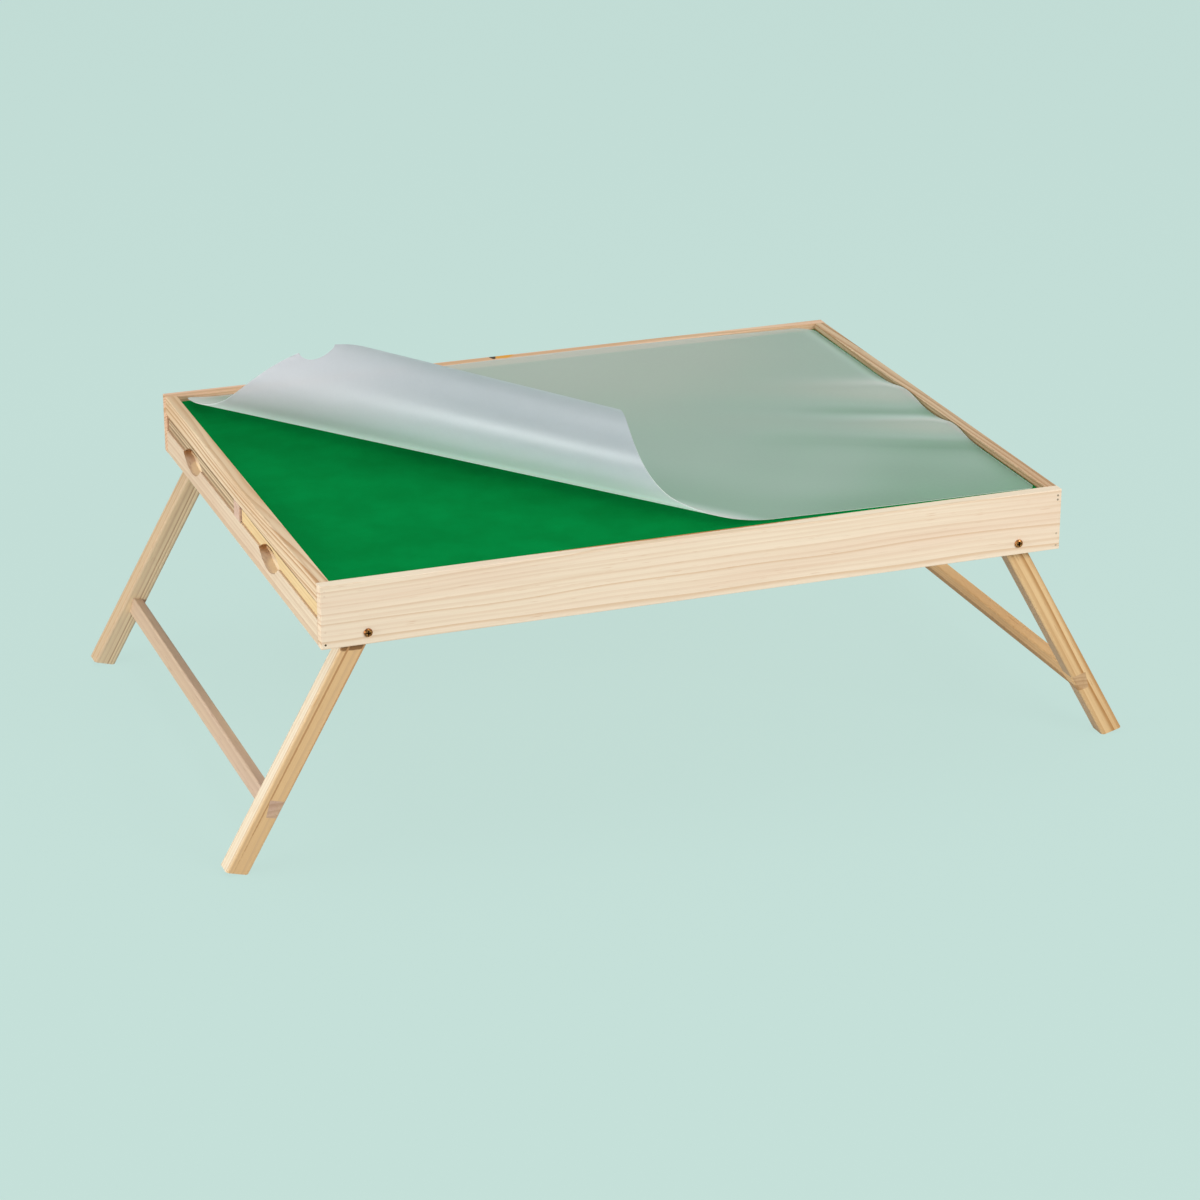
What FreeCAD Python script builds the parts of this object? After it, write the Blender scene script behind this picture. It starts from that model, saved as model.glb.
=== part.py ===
import FreeCAD, Part
import math
import os

# Folding jigsaw puzzle table: a shallow pine tray with a felt work surface, four sorting drawers in its
# short sides, two splayed leg frames that fold flat under it, the right one narrower and seated on spacers,
# and a loose plastic cover sheet with one corner curled back.
# Millimetres, +Z up, +X along the tray, the origin on the floor under the middle.

# Tray boards
tray_length = 860.0
tray_width = 675.0
rail_thickness = 14.0
strip_thickness = 14.0
board_ease = 0.8
lip_height = 7.3
felt_thickness = 1.2
felt_margin = 0.5
panel_thickness = 4.0
base_thickness = 3.0
groove_depth = 5.0
groove_clearance = 0.1
bearer_height = 10.0
bearer_width = 20.0
bearer_pitch = 260.0
bearer_count = 3
divider_width = 24.0
stop_width = 24.0

# Drawers
drawer_height = 18.1
drawer_front_thickness = 12.0
drawer_wall = 8.0
drawer_bottom_thickness = 3.0
drawer_recess = 2.5
drawer_ease = 0.6
runner_gap = 0.2
drawer_top_gap = 1.2
drawer_side_gap = 1.0
drawer_back_gap = 0.5

# Finger holes: an arch in each drawer front over a blind notch in the lower strip
finger_chord = 78.0
arch_height = 12.0
notch_depth = 15.5
notch_back = 3.0
finger_offset = 37.0

# Leg frames, angles in degrees
leg_width = 25.0
leg_thickness = 25.0
leg_round = 4.0
leg_reach = 302.0
leg_splay = 29.2
foot_tilt = 15.0
foot_ease = 0.8
pivot_inset = 51.0
fold_clearance = 0.5
leg_stop_gap = 0.1
leg_side_gap = 0.1
stop_land_inset = 1.0
stop_bevel_angle = 15.0
stretcher_height = 20.0
stretcher_thickness = 13.0
stretcher_round = 2.0
stretcher_reach = 221.0
stretcher_inset = 0.3
spacer_thickness = 14.0
spacer_length = 50.0
spacer_rise = 1.0

# Pivot hardware and nails
bolt_radius = 3.0
bolt_clearance = 0.05
bolt_tip = 1.5
head_radius = 4.8
head_height = 2.4
head_round = 1.6
recess_width = 1.5
recess_span = 5.6
recess_depth = 1.6
washer_radius = 8.0
washer_thickness = 1.0
nut_across_flats = 10.0
nut_height = 5.0
nail_radius = 0.7
nail_head_radius = 1.2
nail_head_height = 0.8
nail_length = 28.0
nail_top_edge = 6.8
nail_top_pitch = 4.9
nail_bottom_edge = 5.0
nail_bottom_pitch = 14.1

# Cover sheet: flat cut, and the roll of its front left corner
sheet_thickness = 0.6
sheet_gap = 0.2
sheet_left_gap = 10.3
sheet_right_gap = 2.8
sheet_front_gap = 23.5
sheet_front_skew = 7.0
sheet_rear_gap = 2.0
sheet_corner = 10.0
thumb_radius = 21.2
thumb_reach = 12.0
thumb_depth = 18.5
curl_start = 48.5
curl_angle = 53.2
ramp_radius = 157.0
ramp_turn = 39.5
roll_radius = 47.0
roll_turn = 170.0
tail_radius = 43.0
roll_midpoint = 400.0
apex_distance = 2730.0
section_turn = 18.0
tip_width = 14.0

# Levels, from the floor up
splay = math.radians(leg_splay)
tilt = math.radians(foot_tilt)
half_leg = leg_width / 2
foot_cut = half_leg * math.tan(splay - tilt)
foot_drop = (leg_reach - foot_cut) * math.cos(splay) + half_leg * math.sin(splay)
pivot_z = foot_drop - foot_ease
rail_bottom = pivot_z - half_leg - fold_clearance
base_bottom = pivot_z + half_leg + fold_clearance
base_top = base_bottom + base_thickness
drawer_bottom = base_top + runner_gap
drawer_top = drawer_bottom + drawer_height
slot_top = drawer_top + drawer_top_gap
panel_bottom = slot_top + bearer_height
panel_top = panel_bottom + panel_thickness
felt_top = panel_top + felt_thickness
table_top = felt_top + lip_height

# Plan: half sizes of the tray, its inside and the panels let into its grooves
half_length = tray_length / 2
half_width = tray_width / 2
inner_x = half_length - strip_thickness
inner_y = half_width - rail_thickness
groove_x = inner_x + groove_depth
groove_y = inner_y + groove_depth
pivot_x = half_length - pivot_inset
bay_width = inner_y - divider_width / 2
bay_centre = divider_width / 2 + bay_width / 2
bays = {"front": -bay_centre, "rear": bay_centre}

# Across the pivot, from the seat of the outer washer inwards: the left frame is seated on the rails, the
# right one on spacers
bore_radius = bolt_radius + bolt_clearance
right_seat = inner_y - spacer_thickness
left_seat = inner_y
leg_setback = washer_thickness + leg_side_gap
inner_washer_setback = leg_setback + leg_thickness + leg_side_gap
nut_setback = inner_washer_setback + washer_thickness
bolt_reach = nut_setback + nut_height + bolt_tip

nodes = {}


def vec(x, y, z):
    return FreeCAD.Vector(x, y, z)


def block(x0, x1, y0, y1, z0, z1):
    """A box between two corners."""
    return Part.makeBox(x1 - x0, y1 - y0, z1 - z0, vec(x0, y0, z0))


def along(shape, axis):
    """The straight edges of a shape that run along X, Y or Z."""
    found = []
    for edge in shape.Edges:
        run = edge.Vertexes[-1].Point - edge.Vertexes[0].Point
        if abs(getattr(run, axis)) > 0.999 * run.Length:
            found.append(edge)
    return found


def eased(shape, radius, *axes):
    """A board with its edges along the named axes rounded."""
    edges = []
    for axis in axes:
        edges += along(shape, axis)
    return shape.makeFillet(radius, edges)


def rod_y(radius, x, z, y0, y1):
    """A cylinder along Y."""
    return Part.makeCylinder(radius, y1 - y0, vec(x, y0, z), vec(0, 1, 0))


def rod_x(radius, y, z, x0, x1):
    """A cylinder along X."""
    return Part.makeCylinder(radius, x1 - x0, vec(x0, y, z), vec(1, 0, 0))


def half_turn(shape):
    """The same piece at the other end of the table."""
    turned = shape.copy()
    turned.rotate(vec(0, 0, 0), vec(0, 0, 1), 180)
    return turned


def rear_copy(shape):
    """The mirrored piece on the rear rail."""
    return shape.mirror(vec(0, 0, 0), vec(0, 1, 0))


def arc_radius(chord, height):
    """Radius of the arc of that height over that chord."""
    return (chord * chord / 4 + height * height) / (2 * height)


# Pivot bolts and nails, made first because the boards are bored for them
def pivot_bolt(seat_y):
    """Domed screw head with a cross recess, and a shank through rail, leg and nut."""
    head = rod_y(head_radius, pivot_x, pivot_z, -half_width - head_height, -half_width)
    rim = [edge for edge in head.Edges if edge.Closed and edge.CenterOfMass.y < -half_width - head_height / 2]
    head = head.makeFillet(head_round, rim)
    shank = rod_y(bolt_radius, pivot_x, pivot_z, -half_width, -seat_y + bolt_reach)
    face_y = -half_width - head_height
    bolt = head.fuse(shank)
    for width, height in ((recess_span, recess_width), (recess_width, recess_span)):
        slot = block(
            pivot_x - width / 2,
            pivot_x + width / 2,
            face_y,
            face_y + recess_depth,
            pivot_z - height / 2,
            pivot_z + height / 2,
        )
        bolt = bolt.cut(slot)
    return bolt.removeSplitter()


def washer(outer_y):
    """A flat ring on the bolt, its outer face at that distance from the middle."""
    ring = rod_y(washer_radius, pivot_x, pivot_z, -outer_y, -outer_y + washer_thickness)
    return ring.cut(rod_y(bore_radius, pivot_x, pivot_z, -outer_y, -outer_y + washer_thickness))


def inner_washer(seat_y):
    """The ring between the leg and its nut."""
    return washer(seat_y - inner_washer_setback)


def pivot_nut(seat_y):
    """A hexagon nut against the inner washer."""
    nut_y = seat_y - nut_setback
    corner = nut_across_flats / math.sqrt(3)
    points = []
    for i in range(7):
        turn = math.radians(60 * i)
        points.append(vec(pivot_x + corner * math.cos(turn), -nut_y, pivot_z + corner * math.sin(turn)))
    nut = Part.Face(Part.makePolygon(points)).extrude(vec(0, nut_height, 0))
    return nut.cut(rod_y(bore_radius, pivot_x, pivot_z, -nut_y, -nut_y + nut_height))


def nail(z):
    """A round nail through the front rail into a right-hand strip, between its groove and its face."""
    x = half_length - (strip_thickness - groove_depth) / 2
    shank = rod_y(nail_radius, x, z, -half_width, -half_width + nail_length)
    head = rod_y(nail_head_radius, x, z, -half_width, -half_width + nail_head_height)
    return shank.fuse(head).removeSplitter()


def four_corners(piece):
    """A front right piece with its three mirrored and turned copies."""
    right = [piece, rear_copy(piece)]
    return right + [half_turn(one) for one in right]


def at_pivots(make):
    """A piece made for the seat of each of the four pivots."""
    right = make(right_seat)
    left = half_turn(make(left_seat))
    return [right, rear_copy(right), left, rear_copy(left)]


nail_levels = [
    table_top - nail_top_edge,
    table_top - nail_top_edge - nail_top_pitch,
    rail_bottom + nail_bottom_edge + nail_bottom_pitch,
    rail_bottom + nail_bottom_edge,
]
nails = []
for level in nail_levels:
    nails += four_corners(nail(level))
nodes["rail_nails"] = Part.makeCompound(nails)
nodes["pivot_bolts"] = Part.makeCompound(at_pivots(pivot_bolt))
nodes["pivot_washers"] = Part.makeCompound(at_pivots(washer) + at_pivots(inner_washer))
nodes["pivot_nuts"] = Part.makeCompound(at_pivots(pivot_nut))


# Tray boards
def front_rail():
    """Full-length board with two stopped grooves, bored for the bolts and nails."""
    rail = block(-half_length, half_length, -half_width, -inner_y, rail_bottom, table_top)
    rail = eased(rail, board_ease, "x", "z")
    reach_x = groove_x + groove_clearance
    reach_y = groove_y + groove_clearance
    for low, high in ((panel_bottom, panel_top), (base_bottom, base_top)):
        rail = rail.cut(block(-reach_x, reach_x, -reach_y, -inner_y, low, high + groove_clearance))
    for x in (-pivot_x, pivot_x):
        rail = rail.cut(rod_y(bore_radius, x, pivot_z, -half_width, -inner_y))
    return rail.cut(nodes["rail_nails"])


def upper_strip():
    """Right-hand strip over the drawer slot, grooved for the work panel."""
    strip = block(inner_x, half_length, -inner_y, inner_y, slot_top, table_top)
    strip = eased(strip, board_ease, "y")
    reach = groove_x + groove_clearance
    strip = strip.cut(block(inner_x, reach, -inner_y, inner_y, panel_bottom, panel_top + groove_clearance))
    return strip.cut(nodes["rail_nails"])


def lower_strip():
    """Right-hand strip under the drawer slot, rebated for the base panel, with a notch for each drawer."""
    strip = block(inner_x, half_length, -inner_y, inner_y, rail_bottom, base_top)
    strip = eased(strip, board_ease, "y")
    strip = strip.cut(block(inner_x, groove_x + groove_clearance, -inner_y, inner_y, base_bottom, base_top))
    radius = arc_radius(finger_chord, notch_depth)
    for bay_y in bays.values():
        centre_z = base_top - notch_depth + radius
        strip = strip.cut(rod_x(radius, bay_y - finger_offset, centre_z, inner_x + notch_back, half_length))
    return strip.cut(nodes["rail_nails"])


nodes["front_rail"] = front_rail()
nodes["rear_rail"] = rear_copy(nodes["front_rail"])
nodes["right_upper_strip"] = upper_strip()
nodes["right_lower_strip"] = lower_strip()
nodes["left_upper_strip"] = half_turn(nodes["right_upper_strip"])
nodes["left_lower_strip"] = half_turn(nodes["right_lower_strip"])

# Panels, felt and the battens between them
felt_x = inner_x - felt_margin
felt_y = inner_y - felt_margin
nodes["work_panel"] = block(-groove_x, groove_x, -groove_y, groove_y, panel_bottom, panel_top)
nodes["felt_surface"] = block(-felt_x, felt_x, -felt_y, felt_y, panel_top, felt_top)
nodes["base_panel"] = block(-groove_x, groove_x, -groove_y, groove_y, base_bottom, base_top)
bearers = []
for i in range(bearer_count):
    middle = (i - (bearer_count - 1) / 2) * bearer_pitch
    left = middle - bearer_width / 2
    bearers.append(block(left, left + bearer_width, -inner_y, inner_y, slot_top, panel_bottom))
nodes["panel_bearers"] = Part.makeCompound(bearers)
half_divider = divider_width / 2
nodes["centre_divider"] = block(-half_length, half_length, -half_divider, half_divider, base_top, slot_top)
half_stop = stop_width / 2
front_stop = block(-half_stop, half_stop, -inner_y, -half_divider, base_top, slot_top)
nodes["drawer_stop"] = Part.makeCompound([front_stop, rear_copy(front_stop)])


def leg_spacer():
    """Block inside the front rail that seats the narrower frame, bored for its bolt."""
    half = spacer_length / 2
    seat_y = -right_seat
    spacer = block(pivot_x - half, pivot_x + half, -inner_y, seat_y, rail_bottom + spacer_rise, base_bottom)
    return spacer.cut(rod_y(bore_radius, pivot_x, pivot_z, -inner_y, seat_y))


nodes["leg_spacers"] = Part.makeCompound([leg_spacer(), rear_copy(leg_spacer())])


# Drawers in the right-hand end; the left-hand ones are the same, turned half round
def drawer(bay_y):
    """Front with its finger arch, two sides and a back standing on a thin bottom."""
    low_y = bay_y - bay_width / 2 + drawer_side_gap
    high_y = bay_y + bay_width / 2 - drawer_side_gap
    near_y = low_y + drawer_wall
    far_y = high_y - drawer_wall
    front_x = half_length - drawer_recess
    wall_x = front_x - drawer_front_thickness
    back_x = half_stop + drawer_back_gap
    floor_z = drawer_bottom + drawer_bottom_thickness
    front = block(wall_x, front_x, low_y, high_y, drawer_bottom, drawer_top)
    front = eased(front, drawer_ease, "y")
    radius = arc_radius(finger_chord, arch_height)
    arch_z = drawer_bottom + arch_height - radius
    front = front.cut(rod_x(radius, bay_y - finger_offset, arch_z, wall_x, front_x))
    return {
        "front": front,
        "bottom": block(back_x, wall_x, low_y, high_y, drawer_bottom, floor_z),
        "near_side": block(back_x, wall_x, low_y, near_y, floor_z, drawer_top),
        "far_side": block(back_x, wall_x, far_y, high_y, floor_z, drawer_top),
        "back": block(back_x, back_x + drawer_wall, near_y, far_y, floor_z, drawer_top),
    }


turned_bay = {"front": "rear", "rear": "front"}
turned_side = {"near_side": "far_side", "far_side": "near_side"}
for bay, bay_y in bays.items():
    for piece, shape in drawer(bay_y).items():
        nodes[f"right_{bay}_drawer_{piece}"] = shape
        nodes[f"left_{turned_bay[bay]}_drawer_{turned_side.get(piece, piece)}"] = half_turn(shape)


# Leg frames: a point on the right-hand legs is given along the leg from the pivot, and across it inwards
def leg_point(down, inward, y):
    x = pivot_x + down * math.sin(splay) - inward * math.cos(splay)
    z = pivot_z - down * math.cos(splay) - inward * math.sin(splay)
    return vec(x, y, z)


def leg_outline(y):
    """Side view of a leg: a level stop land above the pivot, a round inner shoulder and a slanted foot."""
    stop_z = base_bottom - leg_stop_gap
    stop_down = (pivot_z + half_leg * math.sin(splay) - stop_z) / math.cos(splay)
    bevel = math.radians(stop_bevel_angle)
    stop_outer = leg_point(stop_down, -half_leg, y)
    stop_inner = vec(pivot_x + stop_land_inset, y, stop_z)
    shoulder = vec(pivot_x - half_leg * math.sin(bevel), y, pivot_z + half_leg * math.cos(bevel))
    flank = leg_point(0, half_leg, y)
    middle = (bevel + math.pi / 2 + splay) / 2
    crown = vec(pivot_x - half_leg * math.sin(middle), y, pivot_z + half_leg * math.cos(middle))
    heel = leg_point(leg_reach - foot_cut, half_leg, y)
    toe = leg_point(leg_reach + foot_cut, -half_leg, y)
    edges = [
        Part.makeLine(stop_outer, stop_inner),
        Part.makeLine(stop_inner, shoulder),
        Part.Arc(shoulder, crown, flank).toShape(),
        Part.makeLine(flank, heel),
        Part.makeLine(heel, toe),
        Part.makeLine(toe, stop_outer),
    ]
    return Part.Face(Part.Wire(edges))


def turned_bar(width, thickness, length, rounding, origin, lean):
    """A bar with rounded long edges, its length down along a line that leans out from the vertical."""
    bar = Part.makeBox(width, thickness, length, vec(-width / 2, 0, 0))
    bar = eased(bar, rounding, "z")
    bar.rotate(vec(0, 0, 0), vec(0, 1, 0), 180 - lean)
    bar.translate(origin)
    return bar


def stretcher_centre(y):
    """Middle of the stretcher's section, just inside the legs' inner edge."""
    lean = splay - tilt
    reach = stretcher_height / 2 * math.sin(lean) + stretcher_thickness / 2 * math.cos(lean)
    return leg_point(stretcher_reach, half_leg - stretcher_inset - reach, y)


def section_box(x0, x1, z0, z1, y0, y1):
    """A box along Y whose section is turned with the stretcher, measured from its middle."""
    shape = block(x0, x1, 0, y1 - y0, z0, z1)
    shape.rotate(vec(0, 0, 0), vec(0, 1, 0), -foot_tilt)
    shape.translate(stretcher_centre(y0))
    return shape


def leg_blank(y0):
    """Rounded bar trimmed to the leg's outline."""
    spare = leg_width
    bar_length = leg_reach + foot_cut + 2 * spare
    bar = turned_bar(leg_width, leg_thickness, bar_length, leg_round, leg_point(-spare, 0, y0), leg_splay)
    return bar.common(leg_outline(y0).extrude(vec(0, leg_thickness, 0)))


def housing(y0):
    """Slot through a leg for the stretcher's end, open to the leg's inner edge."""
    half_thick = stretcher_thickness / 2
    half_tall = stretcher_height / 2
    return section_box(-half_thick - leg_width, half_thick, -half_tall, half_tall, y0, y0 + leg_thickness)


def leg(y0):
    """Leg bored at the pivot, housed for the stretcher and cut level with the floor."""
    y1 = y0 + leg_thickness
    shape = leg_blank(y0).cut(rod_y(bore_radius, pivot_x, pivot_z, y0, y1))
    shape = shape.cut(housing(y0))
    floor_cut = block(0, half_length + leg_reach, y0, y1, -leg_width, 0)
    return shape.cut(floor_cut)


def stretcher(outer_y):
    """Cross bar between the legs, with ends that fill the housings flush with the legs' faces."""
    half_thick = stretcher_thickness / 2
    half_tall = stretcher_height / 2
    near_y = leg_thickness - outer_y
    bar = block(-half_thick, half_thick, 0, -2 * near_y, -half_tall, half_tall)
    bar = eased(bar, stretcher_round, "y")
    bar.rotate(vec(0, 0, 0), vec(0, 1, 0), -foot_tilt)
    bar.translate(stretcher_centre(near_y))
    for y0 in (-outer_y, outer_y - leg_thickness):
        bar = bar.fuse(leg_blank(y0).common(housing(y0)))
    return bar.removeSplitter()


right_outer_y = right_seat - leg_setback
left_outer_y = left_seat - leg_setback
nodes["right_front_leg"] = leg(-right_outer_y)
nodes["right_rear_leg"] = leg(right_outer_y - leg_thickness)
nodes["right_stretcher"] = stretcher(right_outer_y)
nodes["left_front_leg"] = half_turn(leg(left_outer_y - leg_thickness))
nodes["left_rear_leg"] = half_turn(leg(-left_outer_y))
nodes["left_stretcher"] = half_turn(stretcher(left_outer_y))


# Cover sheet: flat on the felt up to a slanted lift-off line, then rolled up and over itself. The roll is a
# slender cone: its straight lines all aim at one far apex on the lift-off line, beyond the front edge.
curl = math.radians(curl_angle)
sheet_left = -inner_x + sheet_left_gap
sheet_right = inner_x - sheet_right_gap
sheet_front = -inner_y + sheet_front_gap
sheet_rear = inner_y - sheet_rear_gap
sheet_width = sheet_rear - sheet_front
sheet_z = felt_top + sheet_gap
lift_x = sheet_left + curl_start
lift_end_x = lift_x + sheet_width / math.tan(curl)
apex_run = roll_midpoint + apex_distance
corner_run = sheet_width * math.sin(curl) - curl_start * math.cos(curl)
corner_depth = sheet_width * math.cos(curl) + curl_start * math.sin(curl)
ramp_arc = ramp_radius * math.radians(ramp_turn)
roll_arc = roll_radius * math.radians(roll_turn)


def roll_profile(length):
    """Distance towards the curled corner, height and slope of the roll after a length of sheet.

    Measured at the roll's midpoint: a wide ramp off the felt, a tight turn over the top, and a tail inside.
    """
    out = 0.0
    up = 0.0
    slope = 0.0
    for radius, arc in ((ramp_radius, ramp_arc), (roll_radius, roll_arc), (tail_radius, length)):
        step = min(length, arc)
        turned = slope + step / radius
        out += radius * (math.sin(turned) - math.sin(slope))
        up += radius * (math.cos(slope) - math.cos(turned))
        slope = turned
        length -= step
    return out, up, slope


def roll_span(length):
    """Distances from the apex to the sheet's cut edges, on the straight line after a length of sheet."""
    aim = length / apex_distance
    left = (curl_start + apex_run * math.cos(curl)) / math.cos(curl - aim)
    rear = apex_run * math.sin(curl) / math.sin(curl - aim)
    front = (apex_run * math.sin(curl) - sheet_width) / math.sin(curl - aim)
    return min(left, rear), front


def roll_point(length, reach, offset):
    """Point of the roll after a length of sheet, at a reach from the apex, offset from mid-thickness."""
    out, up, slope = roll_profile(length)
    scale = reach / apex_distance
    run = apex_run - scale * math.sqrt(apex_distance**2 - out**2 - up**2)
    far = scale * out - offset * math.sin(slope)
    height = scale * up + offset * math.cos(slope)
    x = lift_x + run * math.cos(curl) - far * math.sin(curl)
    y = sheet_rear - run * math.sin(curl) - far * math.cos(curl)
    return vec(x, y, sheet_z + sheet_thickness / 2 + height)


def roll_section(length):
    """Thin rectangle across the sheet, from cut edge to cut edge."""
    start, end = roll_span(length)
    half = sheet_thickness / 2
    points = [
        roll_point(length, start, -half),
        roll_point(length, end, -half),
        roll_point(length, end, half),
        roll_point(length, start, half),
    ]
    return Part.makePolygon(points + points[:1])


def roll_lengths():
    """Lengths of sheet at which the roll gets a section: lift-off, left corner, each part turn, blunt tip."""
    tip = apex_distance * math.atan2(corner_depth, apex_run - corner_run)
    tip -= tip_width * math.sin(curl) * math.cos(curl)
    rear_aim = math.atan2(curl_start * math.sin(curl), apex_run + curl_start * math.cos(curl))
    lengths = [0.0, apex_distance * rear_aim, tip]
    begun = 0.0
    for radius, arc in ((ramp_radius, ramp_arc), (roll_radius, roll_arc), (tail_radius, tip)):
        finish = min(begun + arc, tip)
        count = math.ceil((finish - begun) / (radius * math.radians(section_turn)))
        for i in range(1, count + 1):
            lengths.append(begun + (finish - begun) * i / count)
        begun = finish
    kept = []
    for length in sorted(lengths):
        if not kept or length - kept[-1] > sheet_thickness:
            kept.append(length)
    return kept


def thumb_notch():
    """Cutter for the shallow round notch in the middle of the left edge, square to the rolled sheet there."""
    beyond = curl_start + thumb_radius - thumb_depth
    run = sheet_width / 2 * math.sin(curl) - beyond * math.cos(curl)
    depth = sheet_width / 2 * math.cos(curl) + beyond * math.sin(curl)
    length = apex_distance * math.atan2(depth, apex_run - run)
    reach = math.hypot(apex_run - run, depth)
    below = roll_point(length, reach, -thumb_reach)
    above = roll_point(length, reach, thumb_reach)
    return Part.makeCylinder(thumb_radius, 2 * thumb_reach, below, above - below)


def cover_sheet():
    """The flat part with its right-hand corners rounded, joined to the roll, less the thumb notch."""
    outline = [
        vec(lift_x, sheet_rear, sheet_z),
        vec(sheet_right, sheet_rear, sheet_z),
        vec(sheet_right, sheet_front - sheet_front_skew, sheet_z),
        vec(lift_end_x, sheet_front, sheet_z),
    ]
    flat = Part.Face(Part.makePolygon(outline + outline[:1])).extrude(vec(0, 0, sheet_thickness))
    corners = [edge for edge in along(flat, "z") if edge.CenterOfMass.x > sheet_right - sheet_corner]
    flat = flat.makeFillet(sheet_corner, corners)
    roll = Part.makeLoft([roll_section(length) for length in roll_lengths()], True, True)
    return flat.fuse(roll).removeSplitter().cut(thumb_notch())


nodes["cover_sheet"] = cover_sheet()

os.makedirs("parts", exist_ok=True)
for name, shape in nodes.items():
    shape.exportStep(f"parts/{name}.step")
    print(name, "solids", len(shape.Solids), "valid", shape.isValid(), "volume", round(shape.Volume, 1))
print("table top", round(table_top, 2), "corner depth", round(corner_depth, 1), "nodes", len(nodes))
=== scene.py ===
# %% [markdown]
# # A folding puzzle table
# This lesson dresses a low pine table for people who lay jigsaw puzzles. The carpentry already exists as an
# exact model: a tray with a felt bed, four shallow drawers, and two leg frames that fold underneath. Here it
# gets its wood, its felt, its hardware and the thin plastic cover whose front left corner is curled back.
# We load the exact model first, because every later piece is measured from it.

# %% Load the table
import math

import bpy
import numpy as np
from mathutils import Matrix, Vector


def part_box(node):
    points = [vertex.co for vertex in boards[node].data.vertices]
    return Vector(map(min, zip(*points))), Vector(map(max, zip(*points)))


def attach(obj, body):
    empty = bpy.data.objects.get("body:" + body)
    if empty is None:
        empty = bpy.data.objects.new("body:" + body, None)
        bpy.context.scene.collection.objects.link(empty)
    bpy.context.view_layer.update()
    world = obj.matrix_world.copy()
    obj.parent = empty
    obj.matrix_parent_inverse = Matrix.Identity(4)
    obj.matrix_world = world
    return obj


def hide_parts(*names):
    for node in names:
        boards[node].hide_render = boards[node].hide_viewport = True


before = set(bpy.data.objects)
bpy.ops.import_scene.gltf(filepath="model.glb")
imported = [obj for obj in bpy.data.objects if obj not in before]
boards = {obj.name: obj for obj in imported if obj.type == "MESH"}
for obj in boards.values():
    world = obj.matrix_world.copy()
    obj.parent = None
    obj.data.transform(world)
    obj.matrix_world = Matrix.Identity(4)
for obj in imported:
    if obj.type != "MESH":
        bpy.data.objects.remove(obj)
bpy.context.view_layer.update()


# %% [markdown]
# ## Small tools
# Colours are easiest to judge as screen values from 0 to 255, while shaders want linear light, so one helper
# converts. The others add and join nodes in a single line, which keeps each material short enough to read.

# %% Colour and node helpers
def screen(red, green, blue):
    """Linear colour from 0-255 screen values: the sRGB curve undone channel by channel."""
    value = np.array([red, green, blue]) / 255
    linear = np.where(value <= 0.04045, value / 12.92, ((value + 0.055) / 1.055) ** 2.4)
    return (*(float(channel) for channel in linear), 1.0)


def feed(tree, socket, value):
    """Gives an input its value: another socket is joined to it, a number or colour is set."""
    if isinstance(value, bpy.types.NodeSocket):
        tree.links.new(value, socket)
    else:
        socket.default_value = value


def add(tree, kind, settings=None, **values):
    """A new node: settings are its properties; values go to its inputs by name, or by number as i0, i1."""
    node = tree.nodes.new("ShaderNode" + kind)
    for name, value in (settings or {}).items():
        setattr(node, name, value)
    for name, value in values.items():
        by_number = name[0] == "i" and name[1:].isdigit()
        feed(tree, node.inputs[int(name[1:]) if by_number else name.replace("_", " ")], value)
    return node


def maths(tree, operation, *values):
    """The result socket of one arithmetic node."""
    node = add(tree, "Math", {"operation": operation})
    for socket, value in zip(node.inputs, values):
        feed(tree, socket, value)
    return node.outputs[0]


def product(tree, first, second):
    """The first value times the second."""
    return maths(tree, "MULTIPLY", first, second)


def ramp(tree, value, low, high, to_low=0.0, to_high=1.0):
    """A smooth step from to_low to to_high while value goes from low to high."""
    node = add(tree, "MapRange", {"interpolation_type": "SMOOTHSTEP"}, Value=value, From_Min=low, From_Max=high,
               To_Min=to_low, To_Max=to_high)
    return node.outputs["Result"]


def mixed(tree, factor, first, second, how="MIX"):
    """The colour between two colours."""
    return add(tree, "Mix", {"data_type": "RGBA", "blend_type": how}, i0=factor, i6=first, i7=second).outputs[2]


def stretched(tree, vector, scale):
    """A vector with each coordinate multiplied."""
    return add(tree, "VectorMath", {"operation": "MULTIPLY"}, i0=vector, i1=scale).outputs[0]


def noise(tree, vector, size, detail=2.0, roughness=0.5, seed=0.0):
    """A node of soft noise between 0 and 1, with features about 1/size across."""
    return add(tree, "TexNoise", {"noise_dimensions": "4D"}, Vector=vector, W=seed, Scale=size, Detail=detail,
               Roughness=roughness)


def new_group(name, inputs, outputs):
    """An empty node group with named sockets: (name, type, default) in, (name, type) out."""
    group = bpy.data.node_groups.new(name, "ShaderNodeTree")
    for label, kind, default in inputs:
        socket = group.interface.new_socket(label, in_out="INPUT", socket_type="NodeSocket" + kind)
        if default is not None:
            socket.default_value = default
    for label, kind in outputs:
        group.interface.new_socket(label, in_out="OUTPUT", socket_type="NodeSocket" + kind)
    return group, group.nodes.new("NodeGroupInput").outputs, group.nodes.new("NodeGroupOutput").inputs


def new_material(name):
    """A material with an empty Principled surface: the material, its tree, and the shader node."""
    material = bpy.data.materials.new(name)
    material.use_nodes = True
    tree = material.node_tree
    tree.nodes.clear()
    shader = tree.nodes.new("ShaderNodeBsdfPrincipled")
    output = tree.nodes.new("ShaderNodeOutputMaterial")
    tree.links.new(shader.outputs[0], output.inputs["Surface"])
    return material, tree, shader


print("helpers ready")

# %% [markdown]
# ## Camera
# The picture looks down on the table from the front left, with a long lens from about four metres. A long
# lens keeps the far edges nearly as large as the near ones, which is what makes the tray look so flat. The
# place and angles below were worked out from the corners of the tray. The plain view transform keeps screen
# colours as they are chosen.

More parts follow.
